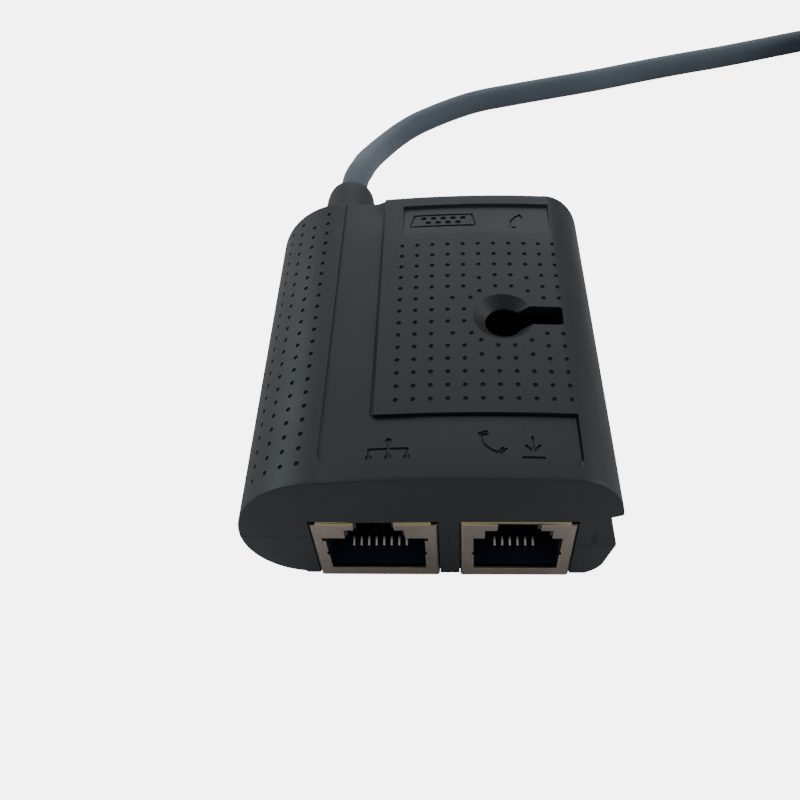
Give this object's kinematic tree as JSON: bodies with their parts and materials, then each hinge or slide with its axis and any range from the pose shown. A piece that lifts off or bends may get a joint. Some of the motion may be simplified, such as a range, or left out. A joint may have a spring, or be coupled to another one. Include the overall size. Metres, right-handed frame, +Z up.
{
  "type": "multi-port communications adapter box with captive cord",
  "caption": "Small moulded box with network, line and serial modular jacks, a keyhole for hanging and a captive cord wound in a coil.",
  "frame": {"origin": "centre of the box footprint on the surface it rests on", "axes": "+Z up through the keyhole face; -Y is the front with the network and line-in jacks; the cord leaves towards +Y; the large rounded side is at -X"},
  "size_m": [0.1639, 0.1379, 0.0244],
  "materials": {
    "cover_plastic": "fine-grained black-grey moulded plastic",
    "board_laminate": "green solder mask on glass-fibre laminate",
    "jack_shield": "tinned sheet metal with a warm tone",
    "jack_plastic": "black glass-filled plastic",
    "contact_gold": "gold-flashed spring wire",
    "component_plastic": "moulded epoxy",
    "capacitor_can": "drawn can",
    "header_plastic": "natural nylon",
    "relief_rubber": "soft moulded relief",
    "cord_jacket": "smooth satin jacket",
    "tie_fabric": "hook-and-loop strap",
    "boot_rubber": "soft moulded boot",
    "plug_plastic": "black moulded plug"
  },
  "bodies": {
    "box": {"top_cover": "cover_plastic", "bottom_cover": "cover_plastic", "circuit_board": "board_laminate", "network_jack_shield": "jack_shield", "line_in_jack_shield": "jack_shield", "network_jack_housing": "jack_plastic", "line_in_jack_housing": "jack_plastic", "serial_jack_housing": "jack_plastic", "line_out_jack_housing": "jack_plastic", "network_transformer": "component_plastic", "serial_driver_chip": "component_plastic", "controller_chip": "component_plastic", "capacitor_1": "capacitor_can", "capacitor_2": "capacitor_can", "cord_header": "header_plastic", "strain_relief": "relief_rubber", "cord_core": "cord_jacket", "cord": "cord_jacket", "cord_tail": "cord_jacket", "cord_coil": "cord_jacket", "coil_tie": "tie_fabric", "plug_boot": "boot_rubber", "plug_body": "plug_plastic"},
    "network_jack_contacts": {"network_jack_contact_1": "contact_gold", "network_jack_contact_2": "contact_gold", "network_jack_contact_3": "contact_gold", "network_jack_contact_4": "contact_gold", "network_jack_contact_5": "contact_gold", "network_jack_contact_6": "contact_gold", "network_jack_contact_7": "contact_gold", "network_jack_contact_8": "contact_gold"},
    "line_in_jack_contacts": {"line_in_jack_contact_1": "contact_gold", "line_in_jack_contact_2": "contact_gold", "line_in_jack_contact_3": "contact_gold", "line_in_jack_contact_4": "contact_gold", "line_in_jack_contact_5": "contact_gold", "line_in_jack_contact_6": "contact_gold"},
    "serial_jack_contacts": {"serial_jack_contact_1": "contact_gold", "serial_jack_contact_2": "contact_gold", "serial_jack_contact_3": "contact_gold", "serial_jack_contact_4": "contact_gold", "serial_jack_contact_5": "contact_gold", "serial_jack_contact_6": "contact_gold"},
    "line_out_jack_contacts": {"line_out_jack_contact_1": "contact_gold", "line_out_jack_contact_2": "contact_gold", "line_out_jack_contact_3": "contact_gold", "line_out_jack_contact_4": "contact_gold", "line_out_jack_contact_5": "contact_gold", "line_out_jack_contact_6": "contact_gold"},
    "plug_latch": {"plug_latch": "plug_plastic"}
  },
  "joints": [
    {"name": "network_jack_contacts_press", "type": "hinge", "parent": "box", "child": "network_jack_contacts", "pos_m": [-0.0065, -0.0214, 0.00345], "axis": [-1, 0, 0], "range_deg": [0, 12], "stiffness_Nm_per_rad": 0.002},
    {"name": "line_in_jack_contacts_press", "type": "hinge", "parent": "box", "child": "line_in_jack_contacts", "pos_m": [0.01134, -0.0214, 0.00345], "axis": [-1, 0, 0], "range_deg": [0, 12], "stiffness_Nm_per_rad": 0.002},
    {"name": "serial_jack_contacts_press", "type": "hinge", "parent": "box", "child": "serial_jack_contacts", "pos_m": [-0.001, 0.0214, 0.00345], "axis": [1, 0, 0], "range_deg": [0, 12], "stiffness_Nm_per_rad": 0.002},
    {"name": "line_out_jack_contacts_press", "type": "hinge", "parent": "box", "child": "line_out_jack_contacts", "pos_m": [0.0124, 0.0214, 0.00345], "axis": [1, 0, 0], "range_deg": [0, 12], "stiffness_Nm_per_rad": 0.002},
    {"name": "plug_latch_press", "type": "hinge", "parent": "box", "child": "plug_latch", "pos_m": [0.1345, 0.0138, 0.0087], "axis": [-1, 0, 0], "range_deg": [0, 12], "stiffness_Nm_per_rad": 0.01}
  ]
}
